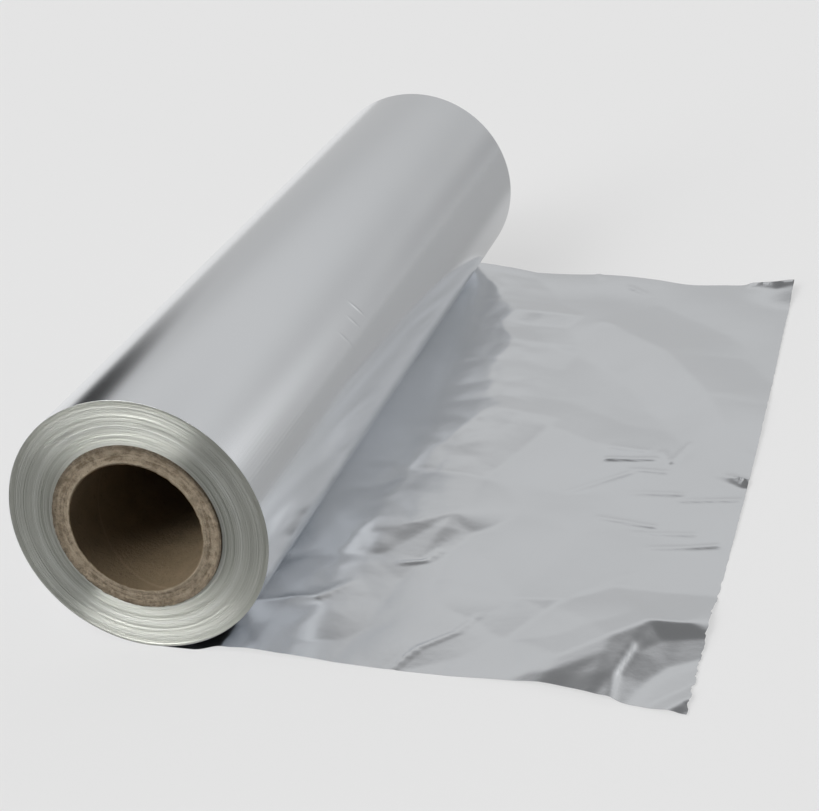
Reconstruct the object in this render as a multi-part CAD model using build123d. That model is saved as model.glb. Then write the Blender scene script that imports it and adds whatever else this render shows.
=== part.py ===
from build123d import *
import os
from math import hypot, pi, sin

# A roll of aluminium foil on its paperboard tube, lying on a table with a length pulled out.
# The roll's axis runs along Y. The sheet leaves the bottom of the roll and lies towards +X.
# The origin is on the table under the axis, half-way along the roll. Sizes are in millimetres.

# Wound foil
foil_width = 300.0
winding_depth = 13.9       # from the first turn out to the last
rest_sag = 0.05            # the soft winding settles this much and gets a narrow flat to lie on

# Turns seen on the end faces: bands of turns that wandered sideways while winding
turn_bands = 9
turn_band_depth = 0.35
band_scatter = 0.618

# Paperboard tube
core_diameter = 52.0
core_wall = 5.5
core_proud = 1.0           # the tube stands this far out of the winding at each end
core_fit_gap = 0.1         # radial room between the tube and the first turn
core_plies = 3
ply_recess = 0.3           # the middle ply has sunk back from the cut ends

# Pulled-out sheet
sheet_reach = 158.0        # from under the axis to the cut edge
sheet_gauge = 0.25         # stands for foil that is far thinner
flat_tail = 12.0           # the sheet is pressed flat this far out by the roll
near_corner_flare = 7.0    # the near corner is pulled out past the end of the roll
near_flare_length = 50.0
far_edge_dip = 2.5         # the far edge is drawn in a little, this far from the cut edge
far_dip_place = 41.0
far_dip_spread = 18.0
cut_edge_bow = 1.2         # the cut edge bulges towards its far half
facet_size = 6.0           # creased foil is made of flat facets, about this far across
facet_scatter = 0.28       # how unevenly the facets' corners lie, as a share of their size

# Hump: the sheet springs up beside the roll, runs level as far as an uneven edge, and falls
hump_height = 3.2
hump_near_height = 1.9     # it is lower over the first stretch from the near end
hump_near_stretch = 20.0
hump_rise_stretch = 100.0
hump_place = 22.0
hump_fall = 26.0
hump_edge = [              # along from the near end, and out from under the axis
    (0.0, 30.0), (47.0, 36.0), (79.0, 47.0), (116.0, 45.0), (150.0, 57.0), (164.0, 62.0),
    (207.0, 54.0), (228.0, 57.0), (257.0, 53.0), (275.0, 38.0), (300.0, 24.0),
]

# Swells: shallow waves over the whole sheet
swell_height = 0.7
swell_length = 74.0
swell_width = 120.0

# Far edge and far corner, lifted off the table
far_edge_lift = 1.8
far_lift_width = 28.0
far_corner_curl = 4.2
far_curl_size = 26.0

core_radius = core_diameter / 2
core_bore_radius = core_radius - core_wall
core_length = foil_width + 2 * core_proud
wound_bore_radius = core_radius + core_fit_gap
roll_radius = wound_bore_radius + winding_depth
axis_height = roll_radius - rest_sag
half_width = foil_width / 2


def by_corner(back, along):
    """A place on the sheet, back from the cut edge and along it from the near end."""
    return sheet_reach - back, along - half_width


def by_roll(out, along):
    """A place on the sheet, out from under the axis and along from the near end."""
    return out, along - half_width


# Folds in the sheet. Each is a crest between two places, with its height at both, and how far its
# flat flanks reach to the left and right of that line, seen from above.
folds = [
    # The crumpled near corner: a crest across it, the peak, and a ridge down to the near edge
    (by_corner(52.0, 1.0), by_corner(38.0, 15.0), 0.2, 2.0, 20.0, 16.0),
    (by_corner(38.0, 15.0), by_corner(26.5, 26.0), 2.0, 3.4, 22.0, 24.0),
    (by_corner(26.5, 26.0), by_corner(16.5, 33.0), 3.4, 4.2, 22.0, 22.0),
    (by_corner(16.5, 33.0), by_corner(-2.0, 39.0), 4.2, 2.6, 15.0, 12.0),
    (by_corner(16.5, 33.0), by_corner(21.0, 16.5), 4.2, 3.4, 9.0, 20.0),
    (by_corner(21.0, 16.5), by_corner(22.5, 5.5), 3.4, 2.5, 6.0, 18.0),
    (by_corner(22.5, 5.5), by_corner(21.0, -8.0), 2.5, 1.5, 6.0, 14.0),
    (by_corner(15.0, 6.0), by_corner(-2.0, 21.0), 0.9, 1.3, 12.0, 3.0),
    # Broad facets between the roll and the cut edge
    (by_corner(80.0, 287.0), by_corner(70.0, 250.0), 1.2, 2.0, 24.0, 30.0),
    (by_corner(70.0, 250.0), by_corner(41.0, 225.0), 2.0, 2.2, 30.0, 26.0),
    (by_corner(41.0, 225.0), by_corner(21.0, 190.0), 2.2, 2.0, 26.0, 24.0),
    (by_corner(21.0, 190.0), by_corner(4.0, 146.0), 2.0, 1.0, 22.0, 20.0),
    (by_corner(74.0, 158.0), by_corner(54.0, 146.0), 1.1, 1.2, 20.0, 36.0),
    (by_corner(54.0, 146.0), by_corner(37.0, 144.0), 1.2, 0.6, 18.0, 28.0),
    (by_corner(74.0, 66.0), by_corner(58.0, 42.0), 0.9, 1.4, 30.0, 18.0),
    (by_corner(58.0, 42.0), by_corner(44.0, 43.0), 1.4, 1.2, 34.0, 16.0),
    (by_corner(44.0, 43.0), by_corner(26.0, 62.0), 1.2, 0.6, 30.0, 16.0),
    (by_corner(80.0, 10.0), by_corner(70.0, 22.0), 0.5, 0.3, 18.0, 10.0),
    # Folds that start from the roll
    (by_roll(22.0, 26.0), by_roll(41.0, 33.0), 0.9, 1.2, 26.0, 14.0),
    (by_roll(41.0, 33.0), by_roll(48.0, 45.0), 1.2, 0.5, 20.0, 12.0),
    (by_roll(50.0, 74.0), by_roll(68.0, 89.0), 0.7, 1.3, 30.0, 16.0),
    (by_roll(68.0, 89.0), by_roll(63.0, 62.0), 1.3, 0.5, 14.0, 16.0),
]


def ease(share):
    """Go from 0 to 1 with a soft start and end."""
    share = min(max(share, 0.0), 1.0)
    return share * share * (3 - 2 * share)


def around_axis(outline):
    """Turn a closed outline of (radius, y) points about the roll's axis."""
    profile = Plane.XY * make_face(Polyline(outline, close=True))
    return Pos(0, 0, axis_height) * revolve(profile, Axis.Y)


def stepped_tube(radii, end_places):
    """A tube of nested rings, each as wide as its radii allow and ending at its own place."""
    far_side = []
    for inner, outer, end_place in zip(radii, radii[1:], end_places):
        far_side += [(inner, end_place), (outer, end_place)]
    near_side = [(radius, -end_place) for radius, end_place in reversed(far_side)]
    return around_axis(far_side + near_side)


def wound_foil():
    """The turns round the tube, with the flat that they settle on."""
    band_width = (roll_radius - wound_bore_radius) / turn_bands
    radii = [wound_bore_radius + band_width * step for step in range(turn_bands + 1)]
    depths = [turn_band_depth * (step * band_scatter % 1) for step in reversed(range(turn_bands))]
    turns = stepped_tube(radii, [half_width - depth for depth in depths])
    return split(turns, bisect_by=Plane.XY, keep=Keep.TOP)


def pressed_tail():
    """The first stretch of the sheet, held flat on the table by the roll."""
    return Box(flat_tail, foil_width, sheet_gauge, align=(Align.MIN, Align.CENTER, Align.MIN))


def fold_height(x, y, start, end, start_height, end_height, left_reach, right_reach):
    """Height of one fold: a crest between two places, with flat flanks."""
    run_x, run_y = end[0] - start[0], end[1] - start[1]
    along = ((x - start[0]) * run_x + (y - start[1]) * run_y) / (run_x ** 2 + run_y ** 2)
    along = min(max(along, 0.0), 1.0)
    off_x, off_y = x - start[0] - along * run_x, y - start[1] - along * run_y
    distance = hypot(off_x, off_y)
    crest = start_height + (end_height - start_height) * along
    if distance == 0.0:
        return crest
    leftward = (run_x * off_y - run_y * off_x) / (hypot(run_x, run_y) * distance)
    reach = (left_reach + right_reach + (left_reach - right_reach) * leftward) / 2
    return crest * max(0.0, 1 - distance / reach)


def hump_edge_at(from_near_end):
    """How far out from under the axis the level top of the hump reaches."""
    for (near, near_edge), (far, far_edge) in zip(hump_edge, hump_edge[1:]):
        if near <= from_near_end <= far:
            return near_edge + (far_edge - near_edge) * (from_near_end - near) / (far - near)
    return hump_edge[0][1] if from_near_end < 0 else hump_edge[-1][1]


def hump_at(x, from_near_end):
    """Height of the hump: up from the roll in a curve, level, then straight down."""
    risen = ease((from_near_end - hump_near_stretch) / hump_rise_stretch)
    level = hump_near_height + (hump_height - hump_near_height) * risen
    if x < hump_place:
        return level * ease((x - flat_tail) / (hump_place - flat_tail))
    past_edge = (x - hump_edge_at(from_near_end)) / hump_fall
    return level * (1 - min(max(past_edge, 0.0), 1.0))


def sheet_height(x, y):
    """Height of the sheet's underside over the table."""
    from_cut_edge = sheet_reach - x
    from_near_end = y + half_width
    from_far_end = half_width - y
    waves = sin(2 * pi * (x + 0.4 * y) / swell_length) * sin(2 * pi * y / swell_width)
    swell = swell_height * (1 + waves) / 2
    far_lift = far_edge_lift * ease(1 - from_far_end / far_lift_width)
    far_lift *= ease(from_cut_edge / far_dip_place - 1)
    curl = far_corner_curl * ease(1 - hypot(from_cut_edge, from_far_end) / far_curl_size)
    fold = max(fold_height(x, y, *fold) for fold in folds)
    settled = ease((x - flat_tail) / (hump_place - flat_tail))
    return hump_at(x, from_near_end) + settled * (swell + far_lift + curl + fold)


def sheet_point(out, across):
    """A point of the sheet's underside. Both shares run from 0 to 1: out from the roll, across it."""
    bow = cut_edge_bow * sin(pi * ease(across))
    x = flat_tail + (sheet_reach + bow - flat_tail) * out
    from_cut_edge = sheet_reach - x
    near_y = -half_width - near_corner_flare * ease(1 - from_cut_edge / near_flare_length)
    far_y = half_width - far_edge_dip * ease(1 - abs(from_cut_edge - far_dip_place) / far_dip_spread)
    y = near_y + (far_y - near_y) * across
    return Vector(x, y, sheet_height(x, y))


def sheet_corners(rows, columns):
    """Corners of the facets on the sheet's underside, uneven everywhere but along the edges."""
    corners = []
    for row in range(rows + 1):
        line = []
        for column in range(columns + 1):
            inside = 0 < row < rows and 0 < column < columns
            scatter = facet_scatter if inside else 0.0
            out = (row + scatter * sin(5.1 * row + 2.3 * column)) / rows
            across = (column + scatter * sin(3.7 * row + 6.7 * column)) / columns
            line.append(sheet_point(out, across))
        corners.append(line)
    return corners


def facet(*corners):
    return Face(Wire.make_polygon(corners, close=True))


def pulled_out_sheet():
    """The loose part of the sheet: flat facets that meet at creases, over and under, and its rim."""
    rows = round((sheet_reach - flat_tail) / facet_size)
    columns = round(foil_width / facet_size)
    corners = sheet_corners(rows, columns)
    gauge = Vector(0, 0, sheet_gauge)
    facets = []
    for row in range(rows):
        for column in range(columns):
            near_in, far_in = corners[row][column:column + 2]
            near_out, far_out = corners[row + 1][column:column + 2]
            halves = [(near_in, near_out, far_out), (near_in, far_out, far_in)]
            if (row + column) % 2:
                halves = [(near_in, near_out, far_in), (near_out, far_out, far_in)]
            for half in halves:
                facets.append(facet(*reversed(half)))
                facets.append(facet(*(corner + gauge for corner in half)))
    near_rim = [line[0] for line in corners]
    far_rim = [line[-1] for line in reversed(corners)]
    rim = near_rim + corners[-1][1:-1] + far_rim + corners[0][-2:0:-1]
    for here, there in zip(rim, rim[1:] + rim[:1]):
        facets.append(facet(here, there, there + gauge, here + gauge))
    return Solid(Shell(facets))


def foil():
    """Turns and sheet are one length of foil, so they are one solid."""
    return wound_foil() + pressed_tail() + pulled_out_sheet()


def core_tube():
    """The wound paperboard tube, with the edges of its plies uneven at the cut ends."""
    ply = core_wall / core_plies
    radii = [core_bore_radius + ply * step for step in range(core_plies + 1)]
    end_place = core_length / 2
    end_places = [end_place - ply_recess * (step % 2) for step in range(core_plies)]
    return stepped_tube(radii, end_places)


os.makedirs("parts", exist_ok=True)
for name, solid in {"foil": foil(), "core_tube": core_tube()}.items():
    export_step(solid, f"parts/{name}.step")
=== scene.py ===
import bpy
import bmesh
from math import ceil, hypot, pi, radians, sin, tau
from mathutils import Matrix, Vector, noise


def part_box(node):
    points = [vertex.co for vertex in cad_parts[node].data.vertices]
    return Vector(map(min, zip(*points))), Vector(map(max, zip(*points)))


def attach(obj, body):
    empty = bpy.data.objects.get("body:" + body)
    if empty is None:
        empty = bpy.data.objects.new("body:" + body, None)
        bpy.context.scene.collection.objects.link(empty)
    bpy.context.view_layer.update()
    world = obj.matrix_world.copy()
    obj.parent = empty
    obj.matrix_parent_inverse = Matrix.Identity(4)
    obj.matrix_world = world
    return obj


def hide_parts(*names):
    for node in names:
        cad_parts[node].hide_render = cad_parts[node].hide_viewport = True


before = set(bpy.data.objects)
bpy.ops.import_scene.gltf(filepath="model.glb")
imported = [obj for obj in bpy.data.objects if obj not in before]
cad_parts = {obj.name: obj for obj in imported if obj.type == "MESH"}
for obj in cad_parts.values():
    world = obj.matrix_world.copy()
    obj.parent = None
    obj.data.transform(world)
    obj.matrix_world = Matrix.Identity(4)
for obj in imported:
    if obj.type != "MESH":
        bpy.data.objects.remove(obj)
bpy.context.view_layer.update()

MM = 0.001

# Camera
# It stands in front of the roll's near end and a little to the right, and looks down along the
# roll. Its place, heading, pitch and lean were solved from the photograph.

camera_place = Vector((217.19, -566.96, 290.73)) * MM
camera_heading = radians(17.691)
camera_pitch = radians(25.284)
camera_lean = radians(-4.2006)
camera = bpy.data.cameras.new("camera")
camera.lens = 81.0
camera.sensor_width = 36.0
camera.sensor_fit = "HORIZONTAL"
camera.clip_start = 0.01
camera_stand = bpy.data.objects.new("camera", camera)
camera_stand.matrix_world = (
    Matrix.Translation(camera_place)
    @ Matrix.Rotation(camera_heading, 4, "Z")
    @ Matrix.Rotation(pi / 2 - camera_pitch, 4, "X")
    @ Matrix.Rotation(camera_lean, 4, "Z")
)
bpy.context.collection.objects.link(camera_stand)
bpy.context.scene.camera = camera_stand
bpy.context.scene.view_settings.view_transform = "Standard"


# Studio
# A pale sweep under and behind the roll, a darker ceiling, a soft box off to the right, a dark
# screen to the left, a lamp in front of the near end and one high on the left. Foil shows its
# surroundings, so these give it its bands.

white = (1.0, 1.0, 1.0)
sweep_tone = 0.7835
floor_size = 4.0
floor_drop = 0.1 * MM
floor_colour = (0.25, 0.25, 0.25)
floor_glow = 0.57

# How brightly the foil mirrors the floor by the roll's near end, by its far end, and outside it
mirrored_near = 0.49
mirrored_far = 0.65
mirrored_behind = 0.42
mirrored_at_right = 0.25
mirrored_in_front = 0.10

# Where one of those passes into the next, in millimetres
near_to_far = (-120.0, 60.0)
back_edge = (150.0, 165.0)
back_left_edge = (10.0, 28.0)
right_edge = (52.0, 80.0)
front_edge = (-190.0, -155.0)

# The walls round the roll. Angles are in degrees: up from level, and round to the right from the
# way the far end points. A pair of them is where a soft edge starts and ends.
wall_glow = 0.55
upper_wall_gain = 0.14
upper_wall_edge = (18.0, 32.0)
ceiling_loss = 0.50
ceiling_edge = (35.0, 50.0)
behind_camera_glow = 0.12
behind_camera_edge = (75.0, 110.0)
dim_patch_loss = 0.12
dim_patch_height, dim_patch_height_reach = 5.0, 9.0
dim_patch_side, dim_patch_side_reach = 22.0, 10.0

# Lamps and the screen: their left, right, lower and upper edges
soft_box_gain = 0.42
soft_box_edges = ((25.0, 37.0), (50.0, 62.0), (3.0, 16.0), (30.0, 44.0))
screen_loss = 0.96
screen_edges = ((-75.0, -60.0), (-34.2, -30.8), (-2.0, 5.0), (15.0, 26.0))
screen_lean = 0.25
screen_middle = 10.0
front_lamp_gain = 9.0
front_lamp_edges = ((-168.0, -158.0), (-149.0, -137.0), (4.0, 14.0), (40.0, 52.0))
left_lamp_gain = 0.6
left_lamp_edges = ((-112.0, -96.0), (-48.0, -38.0), (16.0, 26.0), (46.0, 60.0))
key_strength = 1.05
key_spread = 40.0
key_direction = (-0.45, -0.62, 0.95)


class Tone:
    """The value at one socket of a node tree. Arithmetic on it adds Math nodes."""

    def __init__(self, tree, socket):
        self.tree = tree
        self.socket = socket

    def maths(self, operation, *terms):
        return self.tree.node("ShaderNodeMath", {"operation": operation}, *terms)

    def __add__(self, other):
        return self.maths("ADD", self, other)

    def __radd__(self, other):
        return self.maths("ADD", other, self)

    def __sub__(self, other):
        return self.maths("SUBTRACT", self, other)

    def __rsub__(self, other):
        return self.maths("SUBTRACT", other, self)

    def __mul__(self, other):
        return self.maths("MULTIPLY", self, other)

    def __rmul__(self, other):
        return self.maths("MULTIPLY", other, self)

    def __truediv__(self, other):
        return self.maths("DIVIDE", self, other)

    def __rtruediv__(self, other):
        return self.maths("DIVIDE", other, self)

    def __pow__(self, other):
        return self.maths("POWER", self, other)

    def all_parts(self):
        """Every output of the node that this value comes from."""
        return [Tone(self.tree, socket) for socket in self.socket.node.outputs]

    def between(self, low, high):
        """0 below low, 1 above high, and a soft step from one to the other."""
        settings = {"interpolation_type": "SMOOTHSTEP"}
        span = {"From Min": low, "From Max": high}
        return self.tree.node("ShaderNodeMapRange", settings, Value=self, **span)

    def near(self, middle, reach):
        """1 at middle, and 0 from reach away on either side."""
        return 1 - self.maths("ABSOLUTE", self - middle).between(0.0, reach)


class Finish:
    """A node tree. One method makes any node: its settings go in first, then its sockets."""

    def __init__(self, owner):
        owner.use_nodes = True
        self.tree = owner.node_tree
        self.tree.nodes.clear()

    def node(self, kind, settings=None, *in_order, output=0, **named):
        made = self.tree.nodes.new(kind)
        for name, value in (settings or {}).items():
            setattr(made, name, value)
        for place, value in enumerate(in_order):
            self.feed(made.inputs[place], value)
        for name, value in named.items():
            self.feed(made.inputs[name], value)
        return Tone(self, made.outputs[output]) if made.outputs else None

    def feed(self, socket, value):
        """Link a Tone, set anything else, and leave the socket as it is for None."""
        if isinstance(value, Tone):
            self.tree.links.new(value.socket, socket)
        elif value is not None:
            socket.default_value = (*value, 1.0) if socket.type == "RGBA" else value

    def mix(self, share, first, second):
        """A colour between two others."""
        colours = {"data_type": "RGBA"}
        skipped = [None] * 5
        return self.node("ShaderNodeMix", colours, share, *skipped, first, second, output=2)

    def place_on_piece(self):
        """Object coordinates in millimetres, as a vector and as its three parts."""
        where = self.node("ShaderNodeTexCoord", output=3)
        in_mm = self.node("ShaderNodeVectorMath", {"operation": "SCALE"}, where, Scale=1 / MM)
        return in_mm, self.node("ShaderNodeSeparateXYZ", None, in_mm).all_parts()

    def vector(self, *parts):
        return self.node("ShaderNodeCombineXYZ", None, *parts)

    def specks(self, where, scale, detail=2.0, roughness=0.5):
        """Cloudy noise round one half."""
        grain = {"Scale": scale, "Detail": detail, "Roughness": roughness}
        return self.node("ShaderNodeTexNoise", None, where, **grain)

    def bump(self, height):
        """A normal for relief given in millimetres."""
        return self.node("ShaderNodeBump", None, Height=height, Distance=MM, Strength=1.0)

    def surface(self, **sockets):
        """End the tree in one Principled surface, with the sockets that are named."""
        named = {name.replace("_", " "): value for name, value in sockets.items()}
        made = self.node("ShaderNodeBsdfPrincipled", None, **named)
        self.node("ShaderNodeOutputMaterial", None, made)


def lay_floor():
    flat = bmesh.new()
    bmesh.ops.create_grid(flat, x_segments=1, y_segments=1, size=floor_size)
    bmesh.ops.translate(flat, verts=flat.verts, vec=(0, 0, -floor_drop))
    mesh = bpy.data.meshes.new("floor")
    flat.to_mesh(mesh)
    flat.free()
    ground = bpy.data.objects.new("floor", mesh)
    bpy.context.collection.objects.link(ground)
    material = bpy.data.materials.new("floor")
    finish = Finish(material)
    rays = finish.node("ShaderNodeLightPath").all_parts()
    camera_ray, glossy_ray, transmission_ray = rays[0], rays[3], rays[6]
    where, (x, y, z) = finish.place_on_piece()
    behind = y.between(*back_edge) * x.between(*back_left_edge)
    in_front = 1 - y.between(*front_edge)
    mirrored = mirrored_near + (mirrored_far - mirrored_near) * y.between(*near_to_far)
    mirrored = mirrored + (mirrored_behind - mirrored) * behind
    mirrored = mirrored + (mirrored_at_right - mirrored) * x.between(*right_edge)
    mirrored = mirrored + (mirrored_in_front - mirrored) * in_front
    seen = (camera_ray + transmission_ray) * floor_glow + glossy_ray * mirrored
    matt = finish.node("ShaderNodeBsdfDiffuse", None, floor_colour)
    glow = finish.node("ShaderNodeEmission", None, white, seen)
    both = finish.node("ShaderNodeAddShader", None, matt, glow)
    finish.node("ShaderNodeOutputMaterial", None, both)
    mesh.materials.append(material)


def patch(side, height, left, right, low, high, lean=0.0):
    """1 inside a patch of the surroundings and 0 outside, with soft edges. Its right may lean."""
    leaning = side - lean * (height - screen_middle) if lean else side
    across = side.between(*left) * (1 - leaning.between(*right))
    return across * height.between(*low) * (1 - height.between(*high))


def light_surroundings():
    world = bpy.data.worlds.new("studio")
    bpy.context.scene.world = world
    finish = Finish(world)
    direction = finish.node("ShaderNodeTexCoord")
    right, away, up = finish.node("ShaderNodeSeparateXYZ", None, direction).all_parts()
    height = up.maths("ARCSINE", up) * (180 / pi)
    side = right.maths("ARCTAN2", right, away) * (180 / pi)
    ahead = wall_glow + upper_wall_gain * height.between(*upper_wall_edge)
    ahead = ahead - ceiling_loss * height.between(*ceiling_edge)
    dim_patch = height.near(dim_patch_height, dim_patch_height_reach)
    dim_patch = dim_patch * side.near(dim_patch_side, dim_patch_side_reach)
    ahead = ahead - dim_patch_loss * dim_patch
    ahead = ahead + soft_box_gain * patch(side, height, *soft_box_edges)
    ahead = ahead * (1 - screen_loss * patch(side, height, *screen_edges, screen_lean))
    behind = behind_camera_glow + front_lamp_gain * patch(side, height, *front_lamp_edges)
    behind_camera = side.maths("ABSOLUTE", side).between(*behind_camera_edge)
    light = ahead * (1 - behind_camera) + behind_camera * behind
    light = light + left_lamp_gain * patch(side, height, *left_lamp_edges)
    camera_ray = finish.node("ShaderNodeLightPath")
    light = light * (1 - camera_ray) + sweep_tone * camera_ray
    glow = finish.node("ShaderNodeBackground", None, white, light)
    finish.node("ShaderNodeOutputWorld", None, glow)


def hang_lamp(name, strength, spread, towards):
    lamp = bpy.data.lights.new(name, "SUN")
    lamp.energy = strength
    lamp.angle = radians(spread)
    stand = bpy.data.objects.new(name, lamp)
    stand.rotation_mode = "QUATERNION"
    stand.rotation_quaternion = Vector(towards).to_track_quat("Z", "Y")
    bpy.context.collection.objects.link(stand)


lay_floor()
light_surroundings()
hang_lamp("key", key_strength, key_spread, key_direction)


# Wound foil
# Hundreds of turns of bright rolled foil. On the ends their edges show as fine rings, in bands
# that wandered sideways while winding. The soft winding lies on a narrow flat.

core_low, core_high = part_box("core_tube")
foil_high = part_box("foil")[1]
rest_sag = 0.05 * MM
roll_radius = (foil_high.z + rest_sag) / 2
axis_height = roll_radius - rest_sag
core_radius = (core_high.x - core_low.x) / 2
core_proud = 1.0 * MM
half_width = core_high.y - core_proud
first_turn_gap = 0.1 * MM
first_turn_radius = core_radius + first_turn_gap
turn_bands = 9
turn_band_depth = 0.10 * MM
band_scatter = 0.618
rings_per_band = 14
ring_depth = 0.13 * MM
every_other_ring = 0.5
ring_scatter = 0.35
steps_round = 224
wall_rows = 76
hollow_depth = 0.07 * MM
hollow_length = 80.0 * MM
hollow_scale = 1.1
dull_foil = (0.725, 0.745, 0.77)
clear_foil = (0.76, 0.775, 0.795)
dark_turn_edges = (0.55, 0.56, 0.51)
pale_turn_edges = (0.72, 0.73, 0.69)
shaded_turn_edges = (0.42, 0.43, 0.39)
turn_edges_per_mm = 2.6
wide_rings_per_mm = 0.55
turn_edge_relief = 0.3
wall_lines_per_mm = 0.9
wall_line_relief = 0.007
pinch_width = 1.1
pinch_slant = 0.25


def ease(share):
    """Go from 0 to 1 with a soft start and end."""
    share = min(max(share, 0.0), 1.0)
    return share * share * (3 - 2 * share)


def end_face_rings():
    """Radius and depth of each ring on an end face, from the tube outwards."""
    noise.seed_set(11)
    rings = []
    band_width = (roll_radius - first_turn_radius) / turn_bands
    for band in range(turn_bands):
        depth = turn_band_depth * ((turn_bands - 1 - band) * band_scatter % 1)
        for ring in range(rings_per_band + 1):
            radius = first_turn_radius + band_width * (band + ring / rings_per_band)
            sunk = every_other_ring * (ring % 2) + ring_scatter * noise.random()
            rings.append((radius, depth + ring_depth * sunk))
    return rings


def spin_about_axis(outline, steps):
    """Turn a closed outline of (radius, y) points about the roll's axis."""
    turned = bmesh.new()
    corners = [turned.verts.new((radius, y, 0)) for radius, y in outline]
    edges = [turned.edges.new(pair) for pair in zip(corners, corners[1:] + corners[:1])]
    bmesh.ops.spin(
        turned, geom=corners + edges, cent=(0, 0, 0), axis=(0, 1, 0), dvec=(0, 0, 0),
        angle=tau, steps=steps, use_merge=True, use_normal_flip=False, use_duplicate=False,
    )
    bmesh.ops.remove_doubles(turned, verts=turned.verts, dist=1e-7)
    bmesh.ops.translate(turned, verts=turned.verts, vec=(0, 0, axis_height))
    bmesh.ops.recalc_face_normals(turned, faces=turned.faces)
    return turned


def finish_piece(shape, name, material, node, crease_angle=40.0):
    """Put a shape in the scene in place of a solid, on the only body there is."""
    mesh = bpy.data.meshes.new(name)
    shape.to_mesh(mesh)
    shape.free()
    for face in mesh.polygons:
        face.use_smooth = True
    mesh.set_sharp_from_angle(angle=radians(crease_angle))
    mesh.materials.append(material)
    piece = bpy.data.objects.new(name, mesh)
    bpy.context.collection.objects.link(piece)
    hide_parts(node)
    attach(piece, "root")


def dent_wall(point):
    """The outer turn isn't quite round: it has long shallow hollows."""
    out = Vector((point.x, 0, point.z - axis_height))
    if out.length < roll_radius - 1e-6:
        return
    round_place = Vector((out.x / roll_radius, point.y / hollow_length, out.z / roll_radius))
    hollow = hollow_depth * (0.5 + 0.5 * noise.noise(round_place * hollow_scale))
    out_direction = out.normalized()
    point.x -= out_direction.x * hollow
    point.z -= out_direction.z * hollow


def wound_turns():
    rings = end_face_rings()
    near_face = [(radius, depth - half_width) for radius, depth in rings]
    far_face = [(radius, half_width - depth) for radius, depth in reversed(rings)]
    rows = [half_width * (2 * row / wall_rows - 1) for row in range(1, wall_rows)]
    wall = [(roll_radius, y) for y in rows]
    turned = spin_about_axis(near_face + wall + far_face, steps_round)
    for corner in turned.verts:
        dent_wall(corner.co)
        corner.co.z = max(corner.co.z, 0.0)
    return turned


def bright_foil_colour(finish, where):
    """Bright rolled foil, a little duller in drifting patches."""
    clouds = finish.specks(where, 0.02, 3.0)
    return clouds, finish.mix(clouds, dull_foil, clear_foil)


# Small pinches in the outer turn: place along the roll, angle round it, reach round it, height
wall_pinches = [
    (-38.0, 35.0, 8.0, 0.05),
    (-45.0, 31.0, 7.0, 0.04),
    (-56.0, 28.0, 8.0, 0.05),
    (-63.0, 24.0, 6.0, 0.04),
]


def wound_foil_finish():
    """The outer turn shows lines round the roll; the ends show the edges of the turns."""
    material = bpy.data.materials.new("wound_foil")
    finish = Finish(material)
    where, (x, y, z) = finish.place_on_piece()
    height = z - axis_height / MM
    radius = (x * x + height * height) ** 0.5
    turn = height.maths("ARCTAN2", height, x) * (180 / pi)
    on_end = 1 - radius.between(roll_radius / MM - 0.12, roll_radius / MM - 0.04)
    rings = finish.specks(finish.vector(radius * turn_edges_per_mm, 0.0, 0.0), 1.0, 5.0, 0.8)
    wide_rings = finish.specks(finish.vector(radius * wide_rings_per_mm, 3.0, 0.0), 1.0)
    lines = finish.specks(finish.vector(y * wall_lines_per_mm, 0.0, 0.0), 1.0, 2.0, 0.6)
    clouds, wall_colour = bright_foil_colour(finish, where)
    end_colour = finish.mix(wide_rings.between(0.3, 0.7), dark_turn_edges, pale_turn_edges)
    end_colour = finish.mix(rings.between(0.35, 0.65) * 0.45, end_colour, shaded_turn_edges)
    end_roughness = 0.34 + 0.10 * wide_rings
    wall_roughness = 0.115 + 0.03 * clouds + 0.06 * lines
    relief = on_end * rings * turn_edge_relief + (1 - on_end) * lines * wall_line_relief
    for place, angle, reach, rise in wall_pinches:
        across = (y + (turn - angle) * pinch_slant).near(place, pinch_width)
        relief = relief + rise * across * turn.near(angle, reach)
    finish.surface(
        Base_Color=finish.mix(on_end, wall_colour, end_colour),
        Metallic=1.0,
        Roughness=on_end * end_roughness + (1 - on_end) * wall_roughness,
        Normal=finish.bump(relief),
    )
    return material


finish_piece(wound_turns(), "wound_turns", wound_foil_finish(), "foil")


# Pulled-out sheet
# The same foil: part of the outer turn, pulled out and torn off. It springs up in a hump beside the
# roll, lies in shallow waves, and is creased where it was handled, most of all at the near corner.

# Its outline, and how finely it is made
cut_edge_bow = 1.2 * MM
sheet_reach = foil_high.x - cut_edge_bow
sheet_start = 2.2 * MM
flat_tail = 12.0 * MM
sheet_gauge = 0.08 * MM
sheet_pitch = 1.15 * MM
grading = 0.35
near_corner_flare = 7.0 * MM
near_flare_length = 50.0 * MM
far_edge_dip = 2.5 * MM
far_dip_place = 41.0 * MM
far_dip_spread = 18.0 * MM
torn_strip = 0.02

# Its shape, in millimetres. The hump's edge is listed from near to far, as places along the roll
# and how far each is from under the axis. In the functions, a number alone among a noise's
# coordinates only picks a slice of it.
hump_height = 3.2
hump_near_height = 1.9
hump_near_place = -130.0
hump_rise_stretch = 100.0
hump_place = 22.0
hump_fall = 26.0
hump_edge = [
    (-150, 30), (-103, 36), (-84, 42), (-71, 47), (-34, 45), (-19, 51), (-1, 57), (14, 62),
    (57, 54), (78, 57), (95, 48), (107, 53), (117, 41), (131, 35), (143, 25), (150, 24),
]
edge_raggedness = 2.4
long_rags = (30.0, 15.0)
short_rags = (9.0, 6.0)
short_rag_share = 0.35
crinkle_height = 0.5
crinkle_size = 15.0
crinkle_stretch = 1.3
crinkles_before_edge = 20.0
crinkles_past_edge = 22.0
crinkles_start_over = 14.0
crinkles_end_over = 16.0
softness = 1.2
swell_height = 0.7
swell_length = 74.0
swell_width = 120.0
swell_slant = 0.4
ripple_height = 0.5
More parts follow.
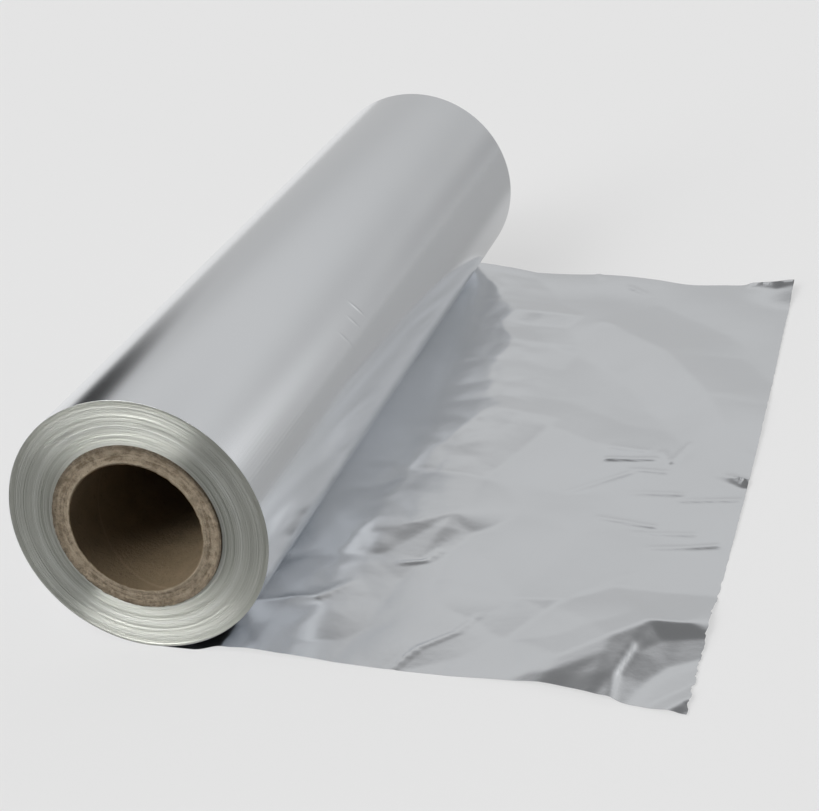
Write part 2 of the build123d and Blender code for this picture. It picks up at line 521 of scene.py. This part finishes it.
ripple_size = (26.0, 38.0)
far_edge_lift = 1.8
far_lift_width = 28.0
far_corner_curl = 3.2
far_curl_size = 26.0
tooth_height = 0.45
teeth_per_mm = 0.9
nick_height = 0.6
nicks_per_mm = 0.28
least_nick = 0.25
clean_tear = 0.35
rough_tear_gain = 0.9
rough_tear_start = -70.0
rough_tear_over = 40.0

# Its surface: marks in a millimetre, and relief in millimetres
mill_lines_per_mm = 1.6
mill_line_relief = 0.004
fine_creases_per_mm = 0.09
fine_crease_relief = 0.10

# Broad facets, in millimetres from under the axis and from the roll's middle. Each is a low crest
# between two points, its height at both, and how far it falls to the left and right of that line.
broad_facets = [
    ((78, 137), (88, 100), 1.2, 2.0, 24, 30),
    ((88, 100), (117, 75), 2.0, 2.2, 30, 26),
    ((117, 75), (137, 40), 2.2, 2.0, 26, 24),
    ((137, 40), (154, -4), 2.0, 1.0, 22, 20),
    ((84, 8), (104, -4), 1.1, 1.2, 20, 36),
    ((104, -4), (121, -6), 1.2, 0.6, 18, 28),
    ((84, -84), (100, -108), 0.9, 1.4, 30, 18),
    ((100, -108), (114, -107), 1.4, 1.2, 34, 16),
    ((114, -107), (132, -88), 1.2, 0.6, 30, 16),
    ((50, -77), (69, -62), 1.0, 1.9, 30, 15),
    ((69, -62), (65, -90), 1.9, 0.5, 12, 18),
    ((22, -127), (41, -121), 1.1, 1.4, 26, 11),
    ((41, -121), (48, -109), 1.4, 0.4, 18, 22),
    ((78, -140), (88, -128), 0.5, 0.3, 18, 10),
]

# Creases, with their start and end, the height of the crest at both, and how far they spread.
creases = [
    ((24, -127), (41, -121), 0.2, 0.6, 4.5),
    ((41, -121), (48, -109), 0.6, 0.2, 3.5),
    ((73, -150), (78, -138), 0.25, 0.35, 1.8),
    ((78, -138), (87, -128), 0.35, 0.3, 1.8),
    ((87, -127), (91, -118), 0.4, 0.1, 1.6),
    ((60, -94), (67, -91), 0.25, 0.45, 1.8),
    ((67, -91), (70, -84), 0.45, 0.2, 1.8),
    ((110, -14), (126, -12), 0.55, 0.42, 2.2),
    ((128, -6), (132, -14), 0.40, 0.55, 1.9),
    ((132, -14), (136, 1), 0.55, 0.3, 1.9),
    ((101, -38), (120, -22), 0.10, 0.26, 2.8),
    ((110, -5), (122, -6), 0.12, 0.24, 2.2),
    ((119, -20), (131, -21), 0.20, 0.32, 2.3),
    ((122, -36), (139, -35), 0.16, 0.30, 2.4),
    ((139, -39), (157, -36), 0.20, 0.34, 2.4),
    ((115, -54), (133, -57), 0.20, 0.32, 2.6),
    ((134, -71), (154, -66), 0.20, 0.36, 2.6),
    ((128, -62), (146, -60), 0.16, 0.24, 2.4),
    ((151, -20), (158, -24), 0.3, 2.0, 4.2),
    ((92, 139), (99, 134), 0.6, 0.4, 2.4),
    ((76, 151), (79, 146), 0.6, 0.3, 2.4),
    ((88, 100), (104, 92), 0.3, 0.1, 2.6),
    ((141, 149.5), (151, 146.5), 1.1, 1.4, 4.4),
    ((151, 146.5), (160, 149), 1.4, 0.6, 4.4),
]

# The crumpled near corner: its points, in millimetres from under the axis, from the roll's middle
# and up, and the flat facets between them. They all lie right of corner_left and nearer than
# corner_far, which saves looking for them elsewhere.
corner_left = 100
corner_far = -94
corner_points = {
    "tip": (108, -149, 0.0),
    "tip_crest": (111.5, -146.5, 0.9),
    "near_foot": (102, -128, 0.0),
    "middle_foot": (112, -110, 0.0),
    "far_foot": (127, -97, 0.0),
    "edge_foot": (161, -96, 0.0),
    "low_crest": (118.9, -138.8, 2.5),
    "crest": (132.6, -127.3, 4.4),
    "peak": (142, -118.1, 4.2),
    "far_ridge": (152.2, -115.4, 2.7),
    "edge_ridge": (161, -111.5, 1.4),
    "low_shoulder": (118.4, -145.5, 2.0),
    "shoulder": (131.5, -136, 3.75),
    "high_shoulder": (139.3, -126.5, 3.7),
    "low_slope": (124.5, -148, 1.7),
    "slope": (131, -145, 2.6),
    "shore_low": (113.5, -154, 0.0),
    "shore": (121, -156, 0.0),
    "rim": (130, -158.5, 0.2),
    "brow_top": (138.5, -131.5, 3.4),
    "brow_middle": (135.9, -143.5, 2.6),
    "brow_end": (137.0, -160.5, 0.7),
    "strip_top": (139.9, -131.3, 2.1),
    "strip_middle": (137.1, -143.5, 1.3),
    "strip_end": (138.2, -160.5, 0.0),
    "bend": (146, -123.5, 1.5),
    "step": (152, -121.5, 1.05),
    "edge_step": (161, -119.5, 0.85),
    "fold_end": (141.2, -161, 0.0),
    "fold_low": (144.8, -144, 0.0),
    "fold": (149.6, -136, 0.0),
    "fold_edge": (161, -129.5, 0.0),
    "rise_end": (143.2, -161, 0.2),
    "rise_low": (146.8, -146, 0.2),
    "rise": (151.3, -138.5, 0.2),
    "rise_edge": (161, -132.5, 0.2),
    "flat": (149, -153, 0.1),
    "flat_edge": (161, -140, 0.1),
    "corner_crest": (149, -161.5, 0.9),
    "corner_edge": (161, -147.5, 1.2),
    "trough": (152.5, -161.5, 0.1),
    "trough_edge": (161, -152.5, 0.1),
    "corner": (161, -161.5, 0.9),
}
corner_facets = [
    ("tip", "near_foot", "tip_crest"),
    ("tip_crest", "near_foot", "low_crest"),
    ("near_foot", "middle_foot", "low_crest"),
    ("middle_foot", "crest", "low_crest"),
    ("middle_foot", "far_foot", "crest"),
    ("far_foot", "peak", "crest"),
    ("far_foot", "far_ridge", "peak"),
    ("far_foot", "edge_foot", "far_ridge"),
    ("edge_foot", "edge_ridge", "far_ridge"),
    ("tip", "tip_crest", "shore_low"),
    ("tip_crest", "low_crest", "low_shoulder"),
    ("low_crest", "crest", "shoulder"),
    ("low_crest", "shoulder", "low_shoulder"),
    ("crest", "peak", "high_shoulder"),
    ("crest", "high_shoulder", "shoulder"),
    ("tip_crest", "low_shoulder", "shore_low"),
    ("low_shoulder", "shore", "shore_low"),
    ("low_shoulder", "low_slope", "shore"),
    ("low_shoulder", "shoulder", "low_slope"),
    ("shoulder", "slope", "low_slope"),
    ("shoulder", "high_shoulder", "brow_top"),
    ("shoulder", "brow_top", "brow_middle"),
    ("shoulder", "brow_middle", "slope"),
    ("low_slope", "rim", "shore"),
    ("low_slope", "slope", "rim"),
    ("slope", "brow_middle", "rim"),
    ("brow_middle", "brow_end", "rim"),
    ("brow_top", "strip_top", "strip_middle"),
    ("brow_top", "strip_middle", "brow_middle"),
    ("brow_middle", "strip_middle", "strip_end"),
    ("brow_middle", "strip_end", "brow_end"),
    ("peak", "far_ridge", "step"),
    ("peak", "step", "bend"),
    ("peak", "bend", "high_shoulder"),
    ("high_shoulder", "bend", "strip_top"),
    ("high_shoulder", "strip_top", "brow_top"),
    ("far_ridge", "edge_ridge", "edge_step"),
    ("far_ridge", "edge_step", "step"),
    ("bend", "step", "fold"),
    ("strip_top", "bend", "fold"),
    ("step", "edge_step", "fold_edge"),
    ("step", "fold_edge", "fold"),
    ("strip_top", "fold", "fold_low"),
    ("strip_top", "fold_low", "strip_middle"),
    ("strip_middle", "fold_low", "strip_end"),
    ("strip_end", "fold_low", "fold_end"),
    ("fold", "fold_edge", "rise_edge"),
    ("fold", "rise_edge", "rise"),
    ("fold_low", "fold", "rise"),
    ("fold_low", "rise", "rise_low"),
    ("fold_end", "fold_low", "rise_low"),
    ("fold_end", "rise_low", "rise_end"),
    ("rise", "rise_edge", "flat_edge"),
    ("rise", "flat_edge", "flat"),
    ("rise_low", "rise", "flat"),
    ("rise_end", "rise_low", "flat"),
    ("rise_end", "flat", "corner_crest"),
    ("flat", "flat_edge", "corner_edge"),
    ("flat", "corner_edge", "corner_crest"),
    ("corner_crest", "corner_edge", "trough_edge"),
    ("corner_crest", "trough_edge", "trough"),
    ("trough", "trough_edge", "corner"),
]


def beside(x, y, start, end):
    """How far along a line a point is, from 0 to 1, how far off it, and how much to its left."""
    run_x, run_y = end[0] - start[0], end[1] - start[1]
    along = ((x - start[0]) * run_x + (y - start[1]) * run_y) / (run_x ** 2 + run_y ** 2)
    along = min(max(along, 0.0), 1.0)
    off_x, off_y = x - start[0] - along * run_x, y - start[1] - along * run_y
    distance = max(hypot(off_x, off_y), 1e-6)
    leftward = (run_x * off_y - run_y * off_x) / (hypot(run_x, run_y) * distance)
    return along, distance, leftward


def broad_height(x, y, start, end, start_height, end_height, left_spread, right_spread):
    """A low crest with flat flanks."""
    along, distance, leftward = beside(x, y, start, end)
    spread = (left_spread + right_spread + (left_spread - right_spread) * leftward) / 2
    crest = start_height + (end_height - start_height) * along
    return crest * max(0.0, 1 - distance / spread)


def crease_height(x, y, start, end, start_height, end_height, spread):
    """A sharp crest with hollow flanks."""
    along, distance, leftward = beside(x, y, start, end)
    crest = start_height + (end_height - start_height) * along
    return crest * max(0.0, 1 - distance / spread) ** 2


def hump_edge_at(y):
    """How far from under the axis the springy stretch beside the roll starts to fall."""
    for (near, near_edge), (far, far_edge) in zip(hump_edge, hump_edge[1:]):
        if near <= y <= far:
            return near_edge + (far_edge - near_edge) * (y - near) / (far - near)
    return hump_edge[0][1] if y < 0 else hump_edge[-1][1]


def hump_at(x, y):
    """The springy stretch beside the roll: up from the nip, level, then down from a ragged edge."""
    rise = ease((y - hump_near_place) / hump_rise_stretch)
    level = hump_near_height + (hump_height - hump_near_height) * rise
    if x < hump_place:
        return level * ease((x - flat_tail / MM) / (hump_place - flat_tail / MM))
    foot = hump_edge_at(y) + hump_fall
    ragged = noise.noise(Vector((y / long_rags[1], 4.2, x / long_rags[0])))
    ragged += short_rag_share * noise.noise(Vector((y / short_rags[1], 1.1, x / short_rags[0])))
    edge = hump_edge_at(y) + edge_raggedness * ragged
    return level * (1 - max(0.0, min(1.0, (x - edge) / (foot - edge))))


def crinkle_at(x, y):
    """Small flat facets about the edge of the hump, like crushed foil."""
    edge = hump_edge_at(y)
    started = ease((x - edge + crinkles_before_edge) / crinkles_start_over)
    share = started * ease((edge + crinkles_past_edge - x) / crinkles_end_over)
    if share == 0.0:
        return 0.0
    place = Vector((x / crinkle_size, y / crinkle_size / crinkle_stretch, 5.5))
    distances = noise.voronoi(place)[0]
    return crinkle_height * share * min(distances[1] - distances[0], 0.5)


def facet_height(x, y, points, facets):
    """Height over the table on a net of flat facets, and nothing outside the net."""
    for names in facets:
        (ax, ay, az), (bx, by, bz), (cx, cy, cz) = (points[name] for name in names)
        area = (bx - ax) * (cy - ay) - (cx - ax) * (by - ay)
        b_share = ((x - ax) * (cy - ay) - (cx - ax) * (y - ay)) / area
        c_share = ((bx - ax) * (y - ay) - (x - ax) * (by - ay)) / area
        if b_share >= 0 and c_share >= 0 and b_share + c_share <= 1:
            return az + b_share * (bz - az) + c_share * (cz - az)
    return 0.0


def sheet_height(x, y):
    """Height of the sheet over the table, all in millimetres."""
    reach, half = sheet_reach / MM, half_width / MM
    from_cut_edge = reach - x
    waves = sin(tau * (x + swell_slant * y) / swell_length) * sin(tau * y / swell_width)
    swell = swell_height * (1 + waves) / 2
    ripple_place = Vector((x / ripple_size[0], y / ripple_size[1], 0.7))
    ripple = ripple_height * noise.noise(ripple_place)
    far_lift = far_edge_lift * ease(1 - (half - y) / far_lift_width)
    far_lift *= ease(from_cut_edge / (far_dip_place / MM) - 1)
    curl = far_corner_curl * ease(1 - hypot(from_cut_edge, half - y) / far_curl_size)
    broad = max(broad_height(x, y, *facet) for facet in broad_facets)
    crease = max(crease_height(x, y, *crease) for crease in creases)
    settled = ease((x - flat_tail / MM) / (hump_place - flat_tail / MM))
    lying = swell + ripple + far_lift + curl + broad + crease + crinkle_at(x, y)
    height = hump_at(x, y) + settled * lying
    if x > corner_left and y < corner_far:
        around = ((0, 0), (-softness, 0), (softness, 0), (0, -softness), (0, softness))
        height += sum(
            facet_height(x + right, y + up, corner_points, corner_facets) for right, up in around
        ) / len(around)
    return max(height, 0.0)


def torn_edge(y):
    """How far the cut edge stands back at each place along it: small nicks and teeth."""
    tooth = tooth_height * noise.noise(Vector((y * teeth_per_mm, 1.7, 0)))
    tooth += nick_height * noise.noise(Vector((y * nicks_per_mm, 9.1, 0)))
    by_near_corner = ease((rough_tear_start - y) / rough_tear_over)
    return max(0.0, tooth + least_nick) * (clean_tear + rough_tear_gain * by_near_corner)


def lie_in_place(corner):
    """Take a corner of the flat grid, from 0 to 1 both ways, to its place on the sheet."""
    out, across = corner.x + 0.5, corner.y + 0.5
    out += grading * out * (1 - out)
    across -= grading * across * (1 - across)
    bow = cut_edge_bow * sin(pi * ease(across))
    x = sheet_start + (sheet_reach + bow - sheet_start) * out
    from_cut_edge = sheet_reach - x
    near_y = -half_width - near_corner_flare * ease(1 - from_cut_edge / near_flare_length)
    dip = far_edge_dip * ease(1 - abs(from_cut_edge - far_dip_place) / far_dip_spread)
    y = near_y + (half_width - dip - near_y) * across
    height = sheet_height(x / MM, y / MM) * MM
    x -= torn_edge(y / MM) * MM * ease((out - 1 + torn_strip) / torn_strip)
    corner.xyz = (x, y, height)


def pulled_sheet():
    flat = bmesh.new()
    rows = ceil((sheet_reach - sheet_start) / sheet_pitch)
    columns = ceil(2 * half_width / sheet_pitch)
    bmesh.ops.create_grid(flat, x_segments=rows, y_segments=columns, size=0.5)
    for corner in flat.verts:
        lie_in_place(corner.co)
    top = flat.verts[:]
    under = bmesh.ops.duplicate(flat, geom=flat.verts[:] + flat.edges[:] + flat.faces[:])["geom"]
    under_faces = [item for item in under if isinstance(item, bmesh.types.BMFace)]
    bmesh.ops.translate(flat, verts=top, vec=(0, 0, sheet_gauge))
    bmesh.ops.reverse_faces(flat, faces=under_faces)
    rims = [edge for edge in flat.edges if edge.is_boundary]
    bmesh.ops.bridge_loops(flat, edges=rims)
    return flat


def sheet_finish():
    """Foil that was handled: mill lines along the strip, and fine creasing all over."""
    material = bpy.data.materials.new("pulled_foil")
    finish = Finish(material)
    where, (x, y, z) = finish.place_on_piece()
    lines = finish.specks(finish.vector(y * mill_lines_per_mm, 0.0, 0.0), 1.0, 5.0, 0.7)
    fine_creases = finish.specks(where, fine_creases_per_mm, 4.0, 0.55)
    clouds, colour = bright_foil_colour(finish, where)
    finish.surface(
        Base_Color=colour,
        Metallic=1.0,
        Roughness=0.15 + 0.10 * clouds + 0.03 * lines,
        Normal=finish.bump(lines * mill_line_relief + fine_creases * fine_crease_relief),
    )
    return material


finish_piece(pulled_sheet(), "pulled_sheet", sheet_finish(), "foil", crease_angle=30.0)


# Paperboard tube
# Strips of brown board wound in a spiral and glued. The cut ends are rough: plies stand apart,
# and the middle plies end a little short of the two skins.

board_wall = 5.5 * MM
bore_radius = core_radius - board_wall
end_plies = 9
ply_recess = 0.3 * MM
tube_steps = 240
bore_rows = 60
rough_end = 0.8 * MM
skin = 0.1 * MM
ply_parting = 0.1 * MM
fibres_per_mm = 1.1
flecks_per_mm = 0.55
blotches_per_mm = 0.16
seam_pitch = 62.0
seam_start = 0.62
seam_paleness = 0.22
# Painted shade deep in the bore: from the first distance in from an end, the bore's colour darkens
# towards a near-black brown, fully at the second
painted_shade_start = 18.0
painted_shade_full = 120.0
painted_shade_strength = 0.8
dark_bore = (0.16, 0.118, 0.066)
pale_bore = (0.26, 0.193, 0.118)
painted_bore_shade = (0.03, 0.022, 0.013)
dark_board = (0.165, 0.125, 0.08)
pale_board = (0.40, 0.33, 0.24)
inner_skin = (0.47, 0.39, 0.285)
outer_skin = (0.10, 0.075, 0.05)
dark_fibre = (0.11, 0.08, 0.055)
seam_colour = (0.36, 0.28, 0.19)


def tube_outline():
    """The wall's outline: the near face, the outside, the far face and back along the bore."""
    face = []
    for ply in range(end_plies + 1):
        radius = bore_radius + board_wall * ply / end_plies
        middle = 1 - abs(2 * ply / end_plies - 1)
        face.append((radius, core_high.y - ply_recess * ease(middle * 1.6)))
    near_face = [(radius, -y) for radius, y in face]
    far_face = list(reversed(face))
    rows = [core_high.y * (1 - 2 * row / bore_rows) for row in range(1, bore_rows)]
    return near_face + far_face + [(bore_radius, y) for y in rows]


def roughen_board(point):
    """The cut ends are torn a little: uneven, with the plies between the two skins apart."""
    out = Vector((point.x, 0, point.z - axis_height))
    radius = out.length
    if core_high.y - abs(point.y) > rough_end:
        return
    place = Vector((out.x, point.y, out.z)) / MM
    rough = 0.35 * noise.noise(place * 0.55) + 0.25 * noise.noise(place * 1.7)
    drawn_in = (0.18 + max(-0.17, rough)) * MM
    point.y += -drawn_in if point.y > 0 else drawn_in
    if bore_radius + skin <= radius <= core_radius - skin:
        apart = ply_parting * noise.noise(place * 1.1)
        point.x += apart * out.x / radius
        point.z += apart * out.z / radius


def board_tube():
    tube = spin_about_axis(tube_outline(), tube_steps)
    for corner in tube.verts:
        roughen_board(corner.co)
    return tube


def board_finish():
    """Brown board: flecked on the cut ends, smoother and darker in the bore, with one seam. Deep in
    the bore its colour is darkened as painted shade.
    """
    material = bpy.data.materials.new("paperboard")
    finish = Finish(material)
    where, (x, y, z) = finish.place_on_piece()
    height = z - axis_height / MM
    radius = (x * x + height * height) ** 0.5
    turn = height.maths("ARCTAN2", height, x)
    fibres = finish.specks(where, fibres_per_mm, 5.0, 0.65)
    flecks = finish.specks(where, flecks_per_mm, 6.0, 0.75)
    blotches = finish.specks(where, blotches_per_mm, 3.0)
    plies = finish.specks(finish.vector(radius * 1.3, turn * 2.5, 0.0), 1.0, 3.0, 0.6)
    in_bore = 1 - radius.between(bore_radius / MM + 0.05, bore_radius / MM + 0.4)
    inner_rim = radius.near(bore_radius / MM + 0.5, 1.1)
    outer_rim = radius.between(core_radius / MM - 1.3, core_radius / MM - 0.2)
    spiral = y.maths("PINGPONG", y / seam_pitch + turn / tau + seam_start, 0.5)
    seam = (1 - spiral.between(0.004, 0.012)) * in_bore
    depth = core_high.y / MM - y.maths("ABSOLUTE", y)
    bore_colour = finish.mix(blotches, dark_bore, pale_bore)
    board = (0.6 * flecks + 0.4 * plies).between(0.38, 0.60)
    end_colour = finish.mix(board, dark_board, pale_board)
    end_colour = finish.mix(inner_rim * 0.5, end_colour, inner_skin)
    worn_skin = outer_rim * fibres.between(0.35, 0.6) * 0.8
    end_colour = finish.mix(worn_skin, end_colour, outer_skin)
    colour = finish.mix(in_bore, end_colour, bore_colour)
    colour = finish.mix(fibres.between(0.56, 0.70) * 0.65, colour, dark_fibre)
    colour = finish.mix(seam * seam_paleness, colour, seam_colour)
    # Painted shade: the bore's colour darkens deep inside, away from its ends
    painted_shade_share = depth.between(painted_shade_start, painted_shade_full) * in_bore
    colour = finish.mix(painted_shade_share * painted_shade_strength, colour, painted_bore_shade)
    torn =(1 - in_bore) * (fibres * 0.2 + flecks * 0.5 + plies * 0.12)
    finish.surface(
        Base_Color=colour,
        Roughness=0.82 + 0.14 * fibres,
        Normal=finish.bump(fibres * 0.2 + torn),
    )
    return material


finish_piece(board_tube(), "paperboard_tube", board_finish(), "core_tube")
